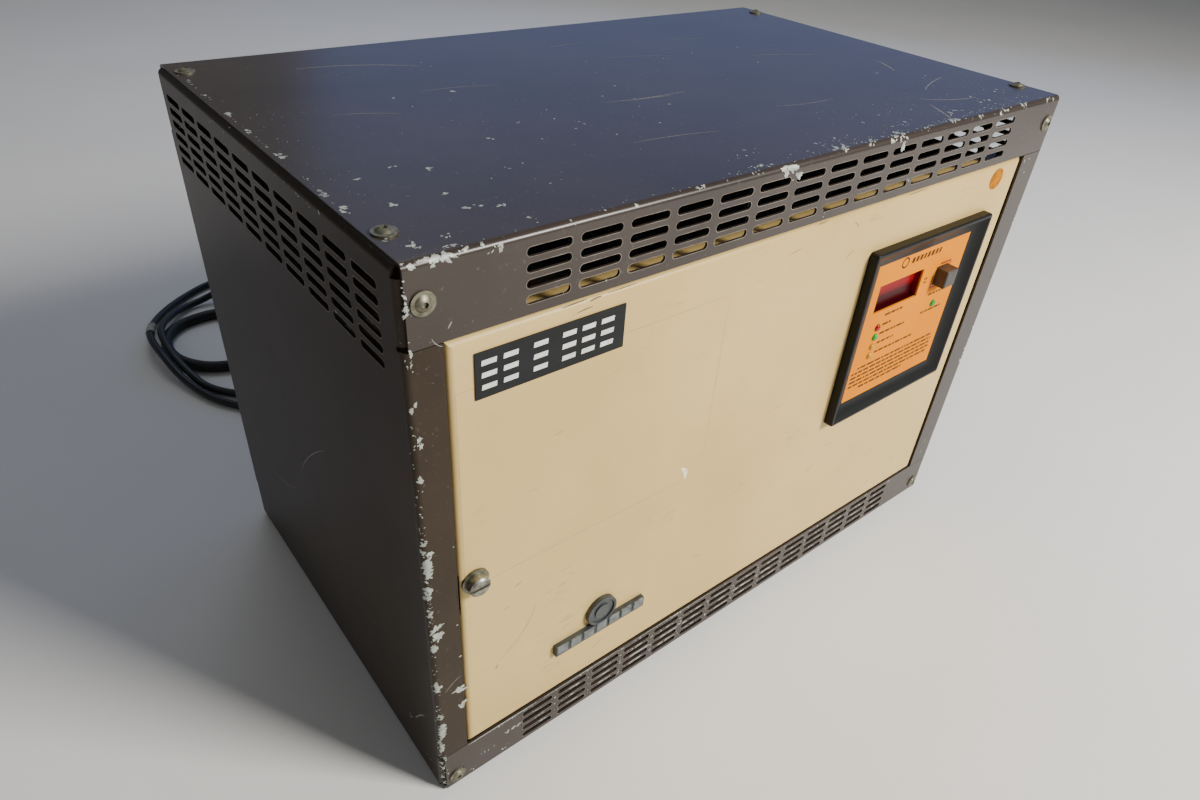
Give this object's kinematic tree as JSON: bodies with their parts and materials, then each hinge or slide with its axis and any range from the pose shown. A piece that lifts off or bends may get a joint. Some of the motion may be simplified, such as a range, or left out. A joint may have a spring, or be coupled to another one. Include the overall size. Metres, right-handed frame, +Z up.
{
  "type": "battery charger",
  "caption": "Sheet-metal battery charger cabinet with slotted vents, a hinged front door carrying a control unit, and transformer, rectifier and leads inside and behind.",
  "frame": {"origin": "Middle of the cabinet's underside, on the surface that it stands on.", "axes": "+X is to the right as one faces the door, +Y is towards the rear panel, +Z is up."},
  "size_m": [0.5506, 0.7884, 0.3906],
  "materials": {
    "badge_metal": "grey plate",
    "bare_aluminium": "extruded aluminium",
    "battery_sheath": "black cable sheath",
    "bezel_plastic": "black moulded plastic, glossy",
    "black_moulding": "black moulded plastic",
    "bobbin_board": "pressed insulating board",
    "brass_metal": "plain brass",
    "button_plastic": "grey-brown moulded plastic",
    "cabinet_paint": "satin brown-grey stove enamel, scuffed",
    "ceramic": "glazed ceramic",
    "circuit_board": "coated glass-fibre board",
    "connector_grey": "grey moulded plastic",
    "copper_bar": "plain copper bar",
    "core_steel": "varnished electrical sheet",
    "dark_module": "dark display block",
    "door_paint": "satin cream stove enamel, chipped",
    "label_black": "black plate",
    "laminate_board": "brown paper laminate",
    "lamp_green": "green lens",
    "lamp_red": "red lens",
    "lamp_yellow": "yellow lens",
    "light_moulding": "light grey moulded plastic",
    "lock_metal": "nickel-plated zinc casting",
    "mains_sheath": "dark blue-black cable sheath",
    "nylon": "natural nylon",
    "orange_foil": "printed orange foil",
    "raw_steel": "plain pressed steel",
    "red_window": "transparent red plastic",
    "sticker_yellow": "printed paper under film",
    "winding_wire": "enamelled winding under varnish",
    "zinc_steel": "zinc-plated steel"
  },
  "bodies": {
    "cabinet": {"base_tray": "cabinet_paint", "top_cover": "cabinet_paint", "left_side_panel": "cabinet_paint", "right_side_panel": "cabinet_paint", "rear_panel": "cabinet_paint", "cabinet_screws": "zinc_steel", "weld_nuts": "zinc_steel", "hinge_brackets": "raw_steel", "hinge_pins": "zinc_steel", "transformer_core": "core_steel", "coil_former": "bobbin_board", "transformer_windings": "winding_wire", "core_clamps": "raw_steel", "core_bolts": "zinc_steel", "terminal_board": "laminate_board", "terminal_studs": "brass_metal", "base_studs": "zinc_steel", "base_nuts": "zinc_steel", "component_plate": "raw_steel", "heat_sink": "bare_aluminium", "rectifier_modules": "black_moulding", "output_busbars": "copper_bar", "rail_bracket": "raw_steel", "din_rail": "zinc_steel", "contactor": "light_moulding", "circuit_breakers": "light_moulding", "terminal_blocks": "light_moulding", "fuse_base": "ceramic", "fuse_link": "ceramic", "current_shunt": "brass_metal", "mains_gland": "black_moulding", "battery_gland": "black_moulding", "gland_nuts": "black_moulding", "mains_lead": "mains_sheath", "mains_plug": "black_moulding", "plug_pins": "zinc_steel", "battery_lead": "battery_sheath", "battery_coil": "battery_sheath", "battery_tail": "battery_sheath", "battery_connector": "connector_grey"},
    "door": {"front_door": "door_paint", "door_bushes": "nylon", "control_bezel": "bezel_plastic", "control_panel": "orange_foil", "control_housing": "black_moulding", "display_window": "red_window", "display_module": "dark_module", "red_lamp": "lamp_red", "green_lamps": "lamp_green", "yellow_lamps": "lamp_yellow", "control_board": "circuit_board", "board_spacers": "brass_metal", "board_parts": "dark_module", "button_switch": "black_moulding", "name_label": "label_black", "badge": "badge_metal", "door_sticker": "sticker_yellow", "lock_washer": "zinc_steel"},
    "lock": {"lock_parts": "lock_metal"},
    "button": {"push_button": "button_plastic"}
  },
  "joints": [
    {"name": "door_hinge", "type": "hinge", "parent": "cabinet", "child": "door", "pos_m": [0.231, -0.154, 0.19275], "axis": [0, 0, 1], "range_deg": [0, 95]},
    {"name": "lock_turn", "type": "hinge", "parent": "door", "child": "lock", "pos_m": [-0.24, -0.164, 0.189], "axis": [0, 1, 0], "range_deg": [0, 90]},
    {"name": "button_press", "type": "slide", "parent": "door", "child": "button", "axis": [0, 1, 0], "range_m": [0, 0.003], "stiffness_N_per_m": 400}
  ]
}
